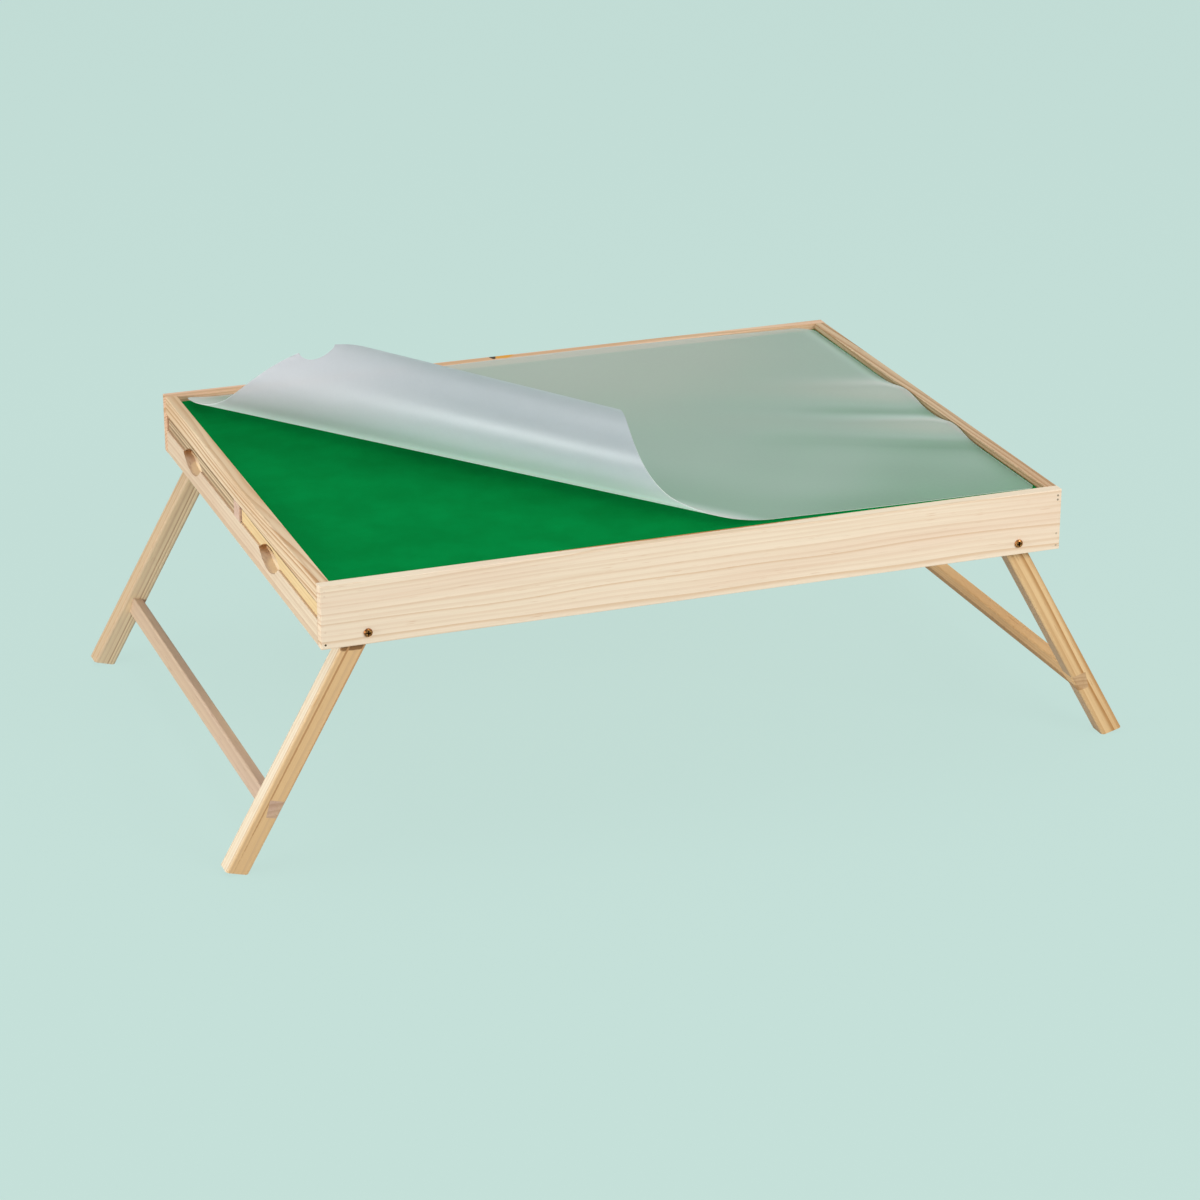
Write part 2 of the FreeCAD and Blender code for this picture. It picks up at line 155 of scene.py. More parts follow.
# %% Camera
TABLE_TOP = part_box("front_rail")[1].z
CAMERA_PLACE = (-1.3783, -3.7462, TABLE_TOP + 1.3922)
CAMERA_TURN = math.radians(20.270)
CAMERA_PITCH = math.radians(21.745)
LENS_MM, SENSOR_MM = 109.38, 36.0
camera_data = bpy.data.cameras.new("portrait camera")
camera_data.lens = LENS_MM
camera_data.sensor_width = SENSOR_MM
camera = bpy.data.objects.new("portrait camera", camera_data)
camera.location = CAMERA_PLACE
camera.rotation_euler = (math.pi / 2 - CAMERA_PITCH, 0.0, -CAMERA_TURN)
bpy.context.scene.collection.objects.link(camera)
bpy.context.scene.camera = camera
bpy.context.scene.view_settings.view_transform = "Standard"
print("camera at", [round(c, 3) for c in camera.location])

# %% [markdown]
# ## Floor and backdrop
# A studio sweep of pale mint paper fills the whole picture. A lit backdrop would never come out so even, so the
# paper shows its own colour to the camera and to shiny surfaces, and only a small share of it answers to the
# lamps. The table's shadow on it stays soft and faint.

# %% Floor and world
PAPER = screen(197, 224, 217)
PAPER_BOUNCE = (0.64, 0.65, 0.64, 1.0)
PAPER_GLOW = 0.92
WORLD_LIGHT = (0.46, 0.46, 0.465, 1.0)
FLOOR_HALF = 14.0


def seen_directly(tree):
    """1 for rays that show the surface as a picture: camera, mirror and see-through rays."""
    light_path = tree.nodes.new("ShaderNodeLightPath").outputs
    seen = maths(tree, "MAXIMUM", light_path["Is Camera Ray"], light_path["Is Glossy Ray"])
    return maths(tree, "MAXIMUM", seen, light_path["Is Transmission Ray"])


def studio_floor(half):
    """A square sheet on the ground, from -half to half both ways."""
    u, v = np.meshgrid(np.linspace(-half, half, 2), np.linspace(-half, half, 2))
    corners = np.stack([u.ravel(), v.ravel(), np.zeros(4)], axis=1)
    mesh = bpy.data.meshes.new("studio_floor")
    mesh.from_pydata(corners.tolist(), [], [(0, 1, 3, 2)])
    return bpy.data.objects.new("studio_floor", mesh)


floor = studio_floor(FLOOR_HALF)
bpy.context.scene.collection.objects.link(floor)
paper = bpy.data.materials.new("mint paper")
paper.use_nodes = True
tree = paper.node_tree
tree.nodes.clear()
seen = seen_directly(tree)
matt = add(tree, "BsdfDiffuse", Color=mixed(tree, seen, PAPER_BOUNCE, PAPER))
glow = add(tree, "Emission", Color=PAPER, Strength=1.0)
blend = add(tree, "MixShader", i0=product(tree, seen, PAPER_GLOW), i1=matt.outputs[0], i2=glow.outputs[0])
add(tree, "OutputMaterial", Surface=blend.outputs[0])
floor.data.materials.append(paper)

world = bpy.data.worlds.new("studio")
bpy.context.scene.world = world
world.use_nodes = True
tree = world.node_tree
tree.nodes.clear()
sky = mixed(tree, seen_directly(tree), WORLD_LIGHT, PAPER)
add(tree, "OutputWorld", Surface=add(tree, "Background", Color=sky, Strength=1.0).outputs[0])
print("floor and world ready")

# %% [markdown]
# ## Lamps
# The table is lit as in a photo studio: the broad even world, a large soft lamp above, one from the front right,
# and a long low softbox on the left. The low one is there for the plastic. Its mirror image is the bright band
# that runs along the curl, so its height and size were chosen by where that band lies.

# %% Lamps
def softbox(name, place, target, width, height, watts, tint=(1.0, 1.0, 1.0)):
    """A rectangular lamp at place that faces target."""
    lamp = bpy.data.lights.new(name, "AREA")
    lamp.shape = "RECTANGLE"
    lamp.size = width
    lamp.size_y = height
    lamp.energy = watts
    lamp.color = tint
    box = bpy.data.objects.new(name, lamp)
    box.location = place
    away = np.array(place) - np.array(target)
    tilt = math.acos(away[2] / np.linalg.norm(away))
    box.rotation_euler = (tilt, 0.0, math.atan2(away[1], away[0]) + math.pi / 2)
    bpy.context.scene.collection.objects.link(box)


bed = (0.0, 0.0, TABLE_TOP)
softbox("overhead softbox", (-0.3, 0.2, 3.2), bed, width=2.6, height=2.2, watts=24.0)
softbox("front softbox", (1.6, -3.3, 1.9), bed, width=2.2, height=0.6, watts=70.0, tint=(1.0, 0.985, 0.965))
softbox("low left softbox", (-3.1, -0.32, 0.70), bed, width=1.8, height=0.98, watts=48.0, tint=(0.97, 0.99, 1.0))
print("studio ready with", len(bpy.data.lights), "lamps")

# %% [markdown]
# ## Pine
# The boards are plain planed pine: cream early wood, thin tan late-wood lines, a pink tinge in places and
# short resin flecks. Real grain is a solid pattern, because each year adds one shell around the pith, and a
# board is a box cut out of those shells. So the pattern is worked out in three dimensions: the distance from
# the pith line, bent a little along the board, gives the year, and the fraction of that year gives early or
# late wood. Long faces then show lines and cathedrals and board ends show arcs, without any picture. Near the
# pith the wood is older and more golden, so a board can be cream on one face and honey on the next.

# %% Pine figure group
PALE_END = (0.95, 0.90, 0.86, 1.0)
pine_figure, pine_in, pine_out = new_group("pine figure", [
    ("Grain", "Vector", None),
    ("End", "Float", 0.0),
    ("Seed", "Float", 0.0),
    ("Pith", "Vector", (0.0, 0.1, 0.0)),
    ("Ring", "Float", 0.004),
    ("Wander", "Float", 0.006),
    ("Contrast", "Float", 0.6),
    ("Early", "Color", screen(240, 222, 196)),
    ("Late", "Color", screen(214, 178, 140)),
    ("Blush", "Color", screen(232, 204, 180)),
    ("Heart", "Color", screen(214, 176, 124)),
    ("Heart Radius", "Float", 0.0),
    ("End Tint", "Color", PALE_END),
], [("Color", "Color"), ("Height", "Float"), ("Roughness", "Float")])


def streaks(scale, detail=2.0, roughness=0.5):
    """Noise in the pine group, drawn out by the scale: features in a metre along and across the grain."""
    drawn_out = stretched(pine_figure, pine_in["Grain"], scale)
    return noise(pine_figure, drawn_out, 1.0, detail, roughness, pine_in["Seed"])


def drifted(vector, streak, amount):
    """The vector moved sideways by the streak's colour, centred on zero, times the amount."""
    centred = add(pine_figure, "VectorMath", {"operation": "SUBTRACT"}, i0=streak.outputs["Color"],
                  i1=(0.5, 0.5, 0.5))
    drift = add(pine_figure, "VectorMath", {"operation": "SCALE"}, i0=centred.outputs[0], Scale=amount)
    return add(pine_figure, "VectorMath", {"operation": "ADD"}, i0=vector, i1=drift.outputs[0]).outputs[0]


SLOW_BEND, FINE_BEND, FINE_SHARE = (1.5, 8.0, 8.0), (8.0, 45.0, 45.0), 0.06
SPELL_RATE, SPELL_YEARS = 0.41, 1.6
SUMMER, WINTER = (0.32, 0.90), (0.93, 1.0)
PALEST_YEAR = 0.30
bent = drifted(pine_in["Grain"], streaks(SLOW_BEND), pine_in["Wander"])
bent = drifted(bent, streaks(FINE_BEND, 1.0), product(pine_figure, pine_in["Wander"], FINE_SHARE))
from_pith = add(pine_figure, "VectorMath", {"operation": "SUBTRACT"}, i0=bent, i1=pine_in["Pith"])
across = stretched(pine_figure, from_pith.outputs[0], (0.0, 1.0, 1.0))
radius = add(pine_figure, "VectorMath", {"operation": "LENGTH"}, i0=across).outputs["Value"]
years = maths(pine_figure, "DIVIDE", radius, pine_in["Ring"])
spell = maths(pine_figure, "MULTIPLY_ADD", years, SPELL_RATE, pine_in["Seed"])
spell = add(pine_figure, "TexNoise", {"noise_dimensions": "1D"}, W=spell, Scale=1.0, Detail=1.0).outputs[0]
years = maths(pine_figure, "MULTIPLY_ADD", spell, SPELL_YEARS, years)
season = maths(pine_figure, "FRACT", years)
late = product(pine_figure, ramp(pine_figure, season, *SUMMER), ramp(pine_figure, season, *WINTER, 1.0, 0.0))
this_year = maths(pine_figure, "ADD", maths(pine_figure, "FLOOR", years), pine_in["Seed"])
year_tone = add(pine_figure, "TexWhiteNoise", {"noise_dimensions": "1D"}, W=this_year).outputs["Value"]
late = product(pine_figure, late, ramp(pine_figure, year_tone, 0.0, 1.0, PALEST_YEAR, 1.0))
print("year rings ready")

# %% [markdown]
# The rings alone would look printed. Wood also has fibres a fraction of a millimetre wide, broad patches of
# pink, and resin canals that show as short brown dashes. Each is a noise stretched along the grain. On board
# ends the rings stand out more and the open pores drink in light, so the end mask deepens both.

# %% Pine colours
FIBRES, THREADS = (9.0, 620.0, 620.0), (3.0, 190.0, 190.0)
PATCHES, CANALS = (2.4, 18.0, 18.0), (50.0, 800.0, 800.0)
THREAD_SHARE, CANAL_SHARE = 0.35, 0.32
HEART_EDGE = 0.003
END_STRENGTH = 1.7
FIBRE_DIMS, FIBRE_SHINE = {"Red": 0.96, "Green": 0.945, "Blue": 0.92}, 1.03
fibre = streaks(FIBRES, 3.0, 0.6).outputs[0]
patch = streaks(PATCHES).outputs[0]
thread = ramp(pine_figure, streaks(THREADS).outputs[0], 0.52, 0.74)
canal = ramp(pine_figure, streaks(CANALS, 0.0).outputs[0], 0.70, 0.82)
heart = maths(pine_figure, "SUBTRACT", radius, pine_in["Heart Radius"])
heart = ramp(pine_figure, heart, -HEART_EDGE, HEART_EDGE, 1.0, 0.0)

strength = product(pine_figure, late, pine_in["Contrast"])
strength = product(pine_figure, strength, ramp(pine_figure, fibre, 0.25, 0.75, 0.75, 1.15))
strength = product(pine_figure, strength, ramp(pine_figure, pine_in["End"], 0.0, 1.0, 1.0, END_STRENGTH))
ground = mixed(pine_figure, ramp(pine_figure, patch, 0.38, 0.66), pine_in["Early"], pine_in["Blush"])
ground = mixed(pine_figure, heart, ground, pine_in["Heart"])
wood = mixed(pine_figure, strength, ground, pine_in["Late"])
threads = product(pine_figure, thread, product(pine_figure, pine_in["Contrast"], THREAD_SHARE))
wood = mixed(pine_figure, threads, wood, pine_in["Late"])
wood = mixed(pine_figure, product(pine_figure, canal, CANAL_SHARE), wood, pine_in["Late"], "MULTIPLY")
shine = {channel: ramp(pine_figure, fibre, 0.2, 0.8, dim, FIBRE_SHINE) for channel, dim in FIBRE_DIMS.items()}
sheen = add(pine_figure, "CombineColor", **shine)
wood = mixed(pine_figure, 1.0, wood, sheen.outputs[0], "MULTIPLY")
wood = mixed(pine_figure, pine_in["End"], wood, pine_in["End Tint"], "MULTIPLY")
pine_figure.links.new(wood, pine_out["Color"])
relief = maths(pine_figure, "MULTIPLY_ADD", fibre, 0.5, product(pine_figure, strength, 0.5))
pine_figure.links.new(relief, pine_out["Height"])
pine_figure.links.new(ramp(pine_figure, fibre, 0.1, 0.9, 0.50, 0.64), pine_out["Roughness"])
print("pine figure has", len(pine_figure.nodes), "nodes")

# %% [markdown]
# ## Marks, painted light and painted shade
# Some marks are worth copying. The rear rail has a small knot with an amber resin streak, the front rail a brown
# line along its top inner edge, and two dark lines run down the left front leg. The rest is painted light and shade:
# a paler patch deep in each finger notch, a painted shadow along the top of each drawer front, a painted shadow on
# each leg just under its rail, painted shade down the inner side of the right legs, and painted shade along the
# right stretcher's lower edge. Such marks could be painted on an unwrapped picture. Here a mark is a soft ellipsoid
# in the board, given by its middle and its reach along each axis, with noise on its outline, so it only needs a
# place and never shows a seam.

# %% Mark group
RAGGED_SIZE, RAGGED_SHARE = 300.0, 0.5
mark, mark_in, mark_out = new_group("wood mark", [
    ("Spot", "Vector", None), ("Middle", "Vector", (0.0, 0.0, 0.0)), ("Reach", "Vector", (0.01, 0.01, 0.01)),
], [("Mask", "Float")])
offset = add(mark, "VectorMath", {"operation": "SUBTRACT"}, i0=mark_in["Spot"], i1=mark_in["Middle"])
offset = add(mark, "VectorMath", {"operation": "DIVIDE"}, i0=offset.outputs[0], i1=mark_in["Reach"])
away = add(mark, "VectorMath", {"operation": "LENGTH"}, i0=offset.outputs[0]).outputs["Value"]
ragged = noise(mark, mark_in["Spot"], RAGGED_SIZE).outputs[0]
away = maths(mark, "MULTIPLY_ADD", ragged, RAGGED_SHARE, maths(mark, "SUBTRACT", away, RAGGED_SHARE / 2))
mark.links.new(ramp(mark, away, 0.70, 1.0, 1.0, 0.0), mark_out["Mask"])
print("mark group ready")

# %% [markdown]
# ## One board, one cut
# No two boards come from the same place in a tree, so each one gets its own material: the same group, turned
# so that the grain runs along the board, with its own seed and its own pith line. A pith far below a board
# gives straight, close lines; a pith just under a face gives wide cathedrals.

# %% Pine finish
LEG_LEAN = math.radians(29.2)
ALONG_X = (0.0, 0.0, 0.0)
ALONG_Y = (0.0, 0.0, -math.pi / 2)
LEFT_LEG = (0.0, math.atan2(-math.cos(LEG_LEAN), -math.sin(LEG_LEAN)), 0.0)
RIGHT_LEG = (0.0, math.atan2(-math.cos(LEG_LEAN), math.sin(LEG_LEAN)), 0.0)
grain_axes = {
    ALONG_X: (1, 0, 0),
    ALONG_Y: (0, 1, 0),
    LEFT_LEG: (-math.sin(LEG_LEAN), 0, -math.cos(LEG_LEAN)),
    RIGHT_LEG: (math.sin(LEG_LEAN), 0, -math.cos(LEG_LEAN)),
}
BOARD_END = (0.45, 0.90)


def tones(early, late, blush):
    """Early, late and blush colours from screen values."""
    return screen(*early), screen(*late), screen(*blush)


def finish(node, material):
    """Makes the material the node's only one."""
    boards[node].data.materials.clear()
    boards[node].data.materials.append(material)


def pine(node, turn, colours, marks=(), lines=(), ends=BOARD_END, **cut):
    """Finishes one board in pine; turn brings its length to the X axis, cut fills the figure's inputs.

    Ends gives the lean of a face, from along the grain to across it, over which it turns into a board end; a
    second pair of leans, where given, is where the end finish stops again. Marks are placed in the frame of the
    table, lines in the frame of the grain.
    """
    material, tree, shader = new_material("pine " + node.replace("_", " "))
    spot = tree.nodes.new("ShaderNodeTexCoord").outputs
    grain = add(tree, "Mapping", Vector=spot["Object"], Rotation=turn).outputs[0]
    facing = add(tree, "VectorMath", {"operation": "DOT_PRODUCT"}, i0=spot["Normal"], i1=grain_axes[turn])
    lean = maths(tree, "ABSOLUTE", facing.outputs["Value"])
    end = ramp(tree, lean, *ends[:2])
    if len(ends) > 2:
        end = product(tree, end, ramp(tree, lean, *ends[2:], 1.0, 0.0))
    early, late, blush = colours
    figure = add(tree, "Group", {"node_tree": pine_figure}, Grain=grain, End=end, Early=early, Late=late,
                 Blush=blush, **cut)
    wood = figure.outputs["Color"]
    placed = [(spot["Object"], one) for one in marks] + [(grain, one) for one in lines]
    for place, (middle, reach, colour) in placed:
        mask = add(tree, "Group", {"node_tree": mark}, Spot=place, Middle=middle, Reach=reach).outputs[0]
        wood = mixed(tree, mask, wood, colour)
    tree.links.new(wood, shader.inputs["Base Color"])
    tree.links.new(figure.outputs["Roughness"], shader.inputs["Roughness"])
    bump = add(tree, "Bump", Strength=0.25, Distance=0.0004, Height=figure.outputs["Height"])
    tree.links.new(bump.outputs[0], shader.inputs["Normal"])
    shader.inputs["Specular IOR Level"].default_value = 0.3
    finish(node, material)


print("pine can run along", len(grain_axes), "directions")

# %% [markdown]
# ## Rails and strips
# The long rails are the palest boards, nearly cream, with wide slow rings. The short strips are tanner and more
# closely striped, and the lower ones have the finger notches. A notch cuts across the fibres, so where its wall
# turns steep the finish of a board end is used, tinted darker both for the end grain and as painted shade in the
# notch, and it stops again at the true board ends. Deeper in the notch a paler patch is painted light.

# %% Rails and strips
# A darker end-grain tint, which inside the notches is also painted shade.
DARK_END_AND_SHADE = (0.66, 0.43, 0.22, 1.0)
HOLE = (0.48, 0.69, 0.80, 0.95)
# Painted light: a paler patch deep in each finger notch, which otherwise sits in shade.
NOTCH_LIGHT_PAINT = screen(241, 217, 181)
FINGER_PLACES = (0.20475, -0.13075)
FINGER_INSET, FINGER_DROP = 0.0110, 0.0145
FINGER_REACH = (0.010, 0.046, 0.0075)
# A brown line along the front rail's top inner edge.
brown_edge_line = ((-0.02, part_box("front_rail")[1].y, TABLE_TOP), (0.20, 0.0040, 0.004), screen(196, 124, 68))
rear_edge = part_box("rear_rail")[1].y
knot = ((-0.013, rear_edge, TABLE_TOP), (0.0045, 0.012, 0.007), screen(58, 32, 16))
amber = ((0.000, rear_edge, TABLE_TOP), (0.0170, 0.012, 0.007), screen(232, 160, 48))
pine("front_rail", ALONG_X, tones((245, 228, 203), (216, 178, 136), (240, 216, 191)), [brown_edge_line],
     Seed=3.1, Pith=(0, -0.36, 0.13), Ring=0.0076, Wander=0.050, Contrast=0.62)
pine("rear_rail", ALONG_X, tones((240, 208, 174), (206, 160, 114), (234, 192, 160)), [amber, knot],
     Seed=4.6, Pith=(0, 0.30, 0.22), Ring=0.0040, Wander=0.016, Contrast=0.75)
strip_tones = {"left": tones((233, 208, 174), (186, 132, 80), (223, 188, 147)),
               "right": tones((219, 190, 154), (176, 132, 90), (208, 171, 134))}
lower_tones = tones((231, 210, 182), (190, 148, 108), (222, 194, 165))
for side, out in (("left", 1), ("right", -1)):
    low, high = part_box(side + "_lower_strip")
    cut_x, cut_z = -out * (max(abs(low.x), abs(high.x)) - FINGER_INSET), high.z - FINGER_DROP
    notch_lights = [((cut_x, out * place, cut_z), FINGER_REACH, NOTCH_LIGHT_PAINT) for place in FINGER_PLACES]
    pine(side + "_upper_strip", ALONG_Y, strip_tones[side],
         Seed=11.7 + out, Pith=(0, 0.475 * out, 0.24), Ring=0.0050, Wander=0.034, Contrast=1.0)
    pine(side + "_lower_strip", ALONG_Y, lower_tones, notch_lights, ends=HOLE, End_Tint=DARK_END_AND_SHADE,
         Seed=17.3 + out, Pith=(0, 0.50 * out, 0.20), Ring=0.0048, Wander=0.018, Contrast=0.9)
print("rails and strips finished")

# %% [markdown]
# ## Drawers and battens
# While the drawers are shut only their fronts show: the front bay's is yellow with wide rings, the rear bay's is
# brown with close dark stripes, and the end of the divider between them is rose. The boxes behind, the battens
# and the spacers are plain straw-coloured pine, since a maker keeps the good boards for the outside.

# %% Drawers, battens and spacers
yellow = tones((238, 210, 158), (204, 158, 100), (228, 194, 140))
striped = tones((222, 196, 158), (132, 94, 58), (208, 178, 140))
straw = tones((234, 209, 171), (204, 158, 106), (226, 194, 152))
rose = tones((230, 204, 184), (196, 160, 138), (222, 192, 174))
# Painted shadow: a dark line along the top of each drawer front, under the edge of the strip above.
TOP_SHADOW_PAINT, TOP_SHADOW_DROP, TOP_SHADOW_REACH = screen(142, 102, 60), 0.0014, (0.004, 0.20, 0.0026)
BAYS = (("front", yellow, 0.0060, 0.85, 44.0), ("rear", striped, 0.0044, 1.1, 40.2666667))
WALLS = (("near_side", ALONG_X), ("far_side", ALONG_X), ("back", ALONG_Y))
for side, out in (("left", 1), ("right", -1)):
    for bay, colours, ring, contrast, first_seed in BAYS:
        drawer = f"{side}_{bay}_drawer_"
        low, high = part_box(drawer + "front")
        top_shadow = (-out * max(abs(low.x), abs(high.x)), (low.y + high.y) / 2, high.z - TOP_SHADOW_DROP)
        pine(drawer + "front", ALONG_Y, colours, [(top_shadow, TOP_SHADOW_REACH, TOP_SHADOW_PAINT)], ends=HOLE, End_Tint=DARK_END_AND_SHADE,
             Seed=first_seed + out, Pith=(0, 0.42 * out, 0.20), Ring=ring, Wander=0.012, Contrast=contrast)
        for number, (wall, turn) in enumerate(WALLS):
            pine(drawer + wall, turn, straw,
                 Seed=first_seed + out + number, Pith=(0, 0.1, 0.2), Ring=0.006, Wander=0.01, Contrast=0.7)
pine("centre_divider", ALONG_X, rose, Seed=51.2, Pith=(0, 0.03, 0.24), Ring=0.0040, Wander=0.008, Contrast=0.6)
for node, turn in (("panel_bearers", ALONG_Y), ("drawer_stop", ALONG_Y), ("leg_spacers", ALONG_X)):
    pine(node, turn, straw, Seed=53.4 + len(node), Pith=(0, 0.02, 0.20), Ring=0.005, Wander=0.01, Contrast=0.7)
print("drawers and battens finished")

# %% [markdown]
# ## Legs and stretchers
# The legs lean, so their grain is turned to run along them. The left front leg is cream on its outer side and
# golden towards the viewer: one board with the edge of its heart just under the face. The left rear leg has a
# brown heart, the right legs are honey all over. The stretchers are plain, the left one greyer and the right one
# warmer, and both show their end grain where they come through the legs.

# %% Legs
OUTER_FACE, INNER_FACE = -0.4732, 0.4482  # faces of the left and right legs, measured across the grain
MID_LEG = -0.10  # along the grain
cream_leg = tones((240, 226, 202), (212, 177, 134), (237, 219, 191))
tan_leg = tones((255, 237, 200), (194, 154, 110), (254, 229, 188))
honey_leg = tones((235, 203, 153), (184, 134, 78), (225, 187, 135))
GOLD_HEART, TAN_HEART = screen(224, 188, 138), screen(213, 185, 150)
# The first two colours draw the dark lines of the left front leg; the third is painted shade for the inner side of
# the right legs.
THIN_LINE, BROAD_LINE, SIDE_SHADE_PAINT = screen(188, 142, 94), screen(204, 158, 110), screen(196, 164, 128)
# Painted shadow: a dark band on each leg just under its rail, where the rail shades it.
RAIL_SHADOW_PAINT, RAIL_SHADOW_REACH = screen(140, 102, 62), (0.032, 0.004, 0.0060)
RAIL_SHADOW_X, RAIL_SHADOW_Z = 0.3897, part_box("front_rail")[0].z - 0.006


def painted_rail_shadow(leg, out, face):
    """The painted shadow on a leg's front face (0) or rear face (1), just under the rail."""
    return (RAIL_SHADOW_X * out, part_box(leg)[face].y, RAIL_SHADOW_Z), RAIL_SHADOW_REACH, RAIL_SHADOW_PAINT


front_y, back_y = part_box("left_front_leg")[0].y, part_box("left_rear_leg")[0].y
dark_lines = [((MID_LEG, front_y, OUTER_FACE + 0.0075), (0.40, 0.004, 0.0014), THIN_LINE),
              ((MID_LEG, front_y, OUTER_FACE + 0.0250), (0.40, 0.004, 0.0040), BROAD_LINE)]
pine("left_front_leg", LEFT_LEG, cream_leg, [painted_rail_shadow("left_front_leg", -1, 0)], dark_lines, Heart=GOLD_HEART,
     Heart_Radius=0.0585, Seed=23.9, Pith=(0, front_y - 0.038, OUTER_FACE + 0.0432), Ring=0.0046, Wander=0.010,
     Contrast=1.0)
pine("left_rear_leg", LEFT_LEG, tan_leg, [painted_rail_shadow("left_rear_leg", -1, 1)], Heart=TAN_HEART, Heart_Radius=0.0885,
     Seed=25.9, Pith=(0, back_y + 0.0725, OUTER_FACE - 0.050), Ring=0.0050, Wander=0.010, Contrast=0.95)
for bay, depth, face in (("front", -0.25, 0), ("rear", 0.25, 1)):
    leg = f"right_{bay}_leg"
    low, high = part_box(leg)
    # Painted shade down the inner side of the leg, which faces away from the lamps.
    side_shade = ((MID_LEG, (low.y + high.y) / 2, INNER_FACE), (0.60, 0.030, 0.0013), SIDE_SHADE_PAINT)
    pine(leg, RIGHT_LEG, honey_leg, [painted_rail_shadow(leg, 1, face)], [side_shade],
         Seed=27.9 + depth, Pith=(0, depth, 0.400), Ring=0.0072, Wander=0.022, Contrast=1.0)
print("legs finished")

# %% Stretchers
bar_tones = {"left": tones((208, 180, 151), (173, 137, 109), (200, 169, 151)),
             "right": tones((250, 210, 154), (198, 148, 96), (238, 194, 138))}
bar_ends = {"left": (1.0, 0.98, 0.95, 1.0), "right": (0.66, 0.66, 0.72, 1.0)}
low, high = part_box("right_stretcher")
# Painted shade along the lower edge of the right stretcher, which faces down.
lower_edge_shade = ((0.65 * low.x + 0.35 * high.x, 0.0, low.z), (0.011, 0.60, 0.0095), screen(188, 146, 100))
bar_marks = {"left": [], "right": [lower_edge_shade]}
PITH_BELOW = 0.08
for side, seed in (("left", 41.5), ("right", 42.5)):
    low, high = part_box(side + "_stretcher")
    pine(side + "_stretcher", ALONG_Y, bar_tones[side], bar_marks[side], End_Tint=bar_ends[side], Seed=seed,
         Pith=(0, -(low.x + high.x) / 2, low.z - PITH_BELOW), Ring=0.0060, Wander=0.012, Contrast=0.55)
print("stretchers finished")

# %% [markdown]
# ## Thin plywood
# The tray's two panels and the drawer bottoms are thin plywood. Its face is peeled from the log, so the same
# rings show as broad, slow waves: a large ring width and a pith line almost in the face.

# %% Plywood panels
ply = tones((226, 198, 158), (196, 158, 114), (216, 184, 142))
PLY_PITH = 0.06
panels = ["work_panel", "base_panel"] + [name for name in boards if name.endswith("drawer_bottom")]
for number, node in enumerate(panels):
    pine(node, ALONG_X, ply, Seed=61.0 + number, Pith=(0, 0.15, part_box(node)[0].z - PLY_PITH), Ring=0.011,
         Wander=0.05, Contrast=0.45)
print("plywood on", len(panels), "panels")

# %% [markdown]
# ## Screws, washers and nails
# The pivot screws are bronzed: a brown-black skin with warm bright patches that are painted glints. Washers and
# nuts are zinc plated. One group gives all of them their uneven tarnish, and the screws their painted glints. The
# cross recess of a screw is painted in shade by its place, a small cylinder round the screw's axis, because so
# little light reaches into it.

# %% Metal finishes
tarnish_and_glints, tarnish_and_glints_in, tarnish_and_glints_out = new_group("tarnish_and_glints", [
    ("Spot", "Vector", None), ("Bright", "Color", (0.6, 0.6, 0.6, 1.0)), ("Dark", "Color", (0.2, 0.2, 0.2, 1.0)),
    ("Scale", "Float", 400.0), ("Polish", "Float", 0.3),
], [("Color", "Color"), ("Roughness", "Float")])
cloud = noise(tarnish_and_glints, tarnish_and_glints_in["Spot"], tarnish_and_glints_in["Scale"], 3.0, 0.6).outputs[0]
skin = mixed(tarnish_and_glints, ramp(tarnish_and_glints, cloud, 0.35, 0.7), tarnish_and_glints_in["Dark"], tarnish_and_glints_in["Bright"])
tarnish_and_glints.links.new(skin, tarnish_and_glints_out["Color"])
rough = maths(tarnish_and_glints, "ADD", tarnish_and_glints_in["Polish"], ramp(tarnish_and_glints, cloud, 0.3, 0.7, 0.12, -0.06))
tarnish_and_glints.links.new(rough, tarnish_and_glints_out["Roughness"])


def metal(name, bright, dark, scale, polish):
    """A metal finish with uneven tarnish, which on the screws gives painted glints: its material, tree and shader,
    its colour socket, and its place socket.
    """
    material, tree, shader = new_material(name)
    spot = tree.nodes.new("ShaderNodeTexCoord").outputs["Object"]
    skin = add(tree, "Group", {"node_tree": tarnish_and_glints}, Spot=spot, Bright=bright, Dark=dark, Scale=scale,
               Polish=polish)
    tree.links.new(skin.outputs["Color"], shader.inputs["Base Color"])
    tree.links.new(skin.outputs["Roughness"], shader.inputs["Roughness"])
    shader.inputs["Metallic"].default_value = 1.0
    return material, tree, shader, skin.outputs["Color"], spot


HEAD_RADIUS = 0.0048
RECESS_DEPTH, RECESS_REACH = (0.0011, 0.0008), (0.0029, 0.0031)
RECESS_DARK = screen(20, 12, 8)
# The bright colour of the screws' skin is painted glints.
bolts, tree, shader, skin, spot = metal("bronzed screw", screen(255, 172, 104), screen(84, 38, 16), 700.0, 0.20)
place = add(tree, "SeparateXYZ", Vector=spot).outputs
bolt_low, bolt_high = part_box("pivot_bolts")
from_x = maths(tree, "SUBTRACT", maths(tree, "ABSOLUTE", place["X"]), bolt_high.x - HEAD_RADIUS)
from_z = maths(tree, "SUBTRACT", place["Z"], (bolt_low.z + bolt_high.z) / 2)
squares = maths(tree, "ADD", maths(tree, "POWER", from_x, 2.0), maths(tree, "POWER", from_z, 2.0))
from_axis = maths(tree, "SQRT", squares)
bottom, brim = (bolt_high.y - depth for depth in RECESS_DEPTH)
sunk = ramp(tree, maths(tree, "ABSOLUTE", place["Y"]), bottom, brim, 1.0, 0.0)
cross = product(tree, sunk, ramp(tree, from_axis, *RECESS_REACH, 1.0, 0.0))
tree.links.new(mixed(tree, cross, skin, RECESS_DARK), shader.inputs["Base Color"])
finish("pivot_bolts", bolts)
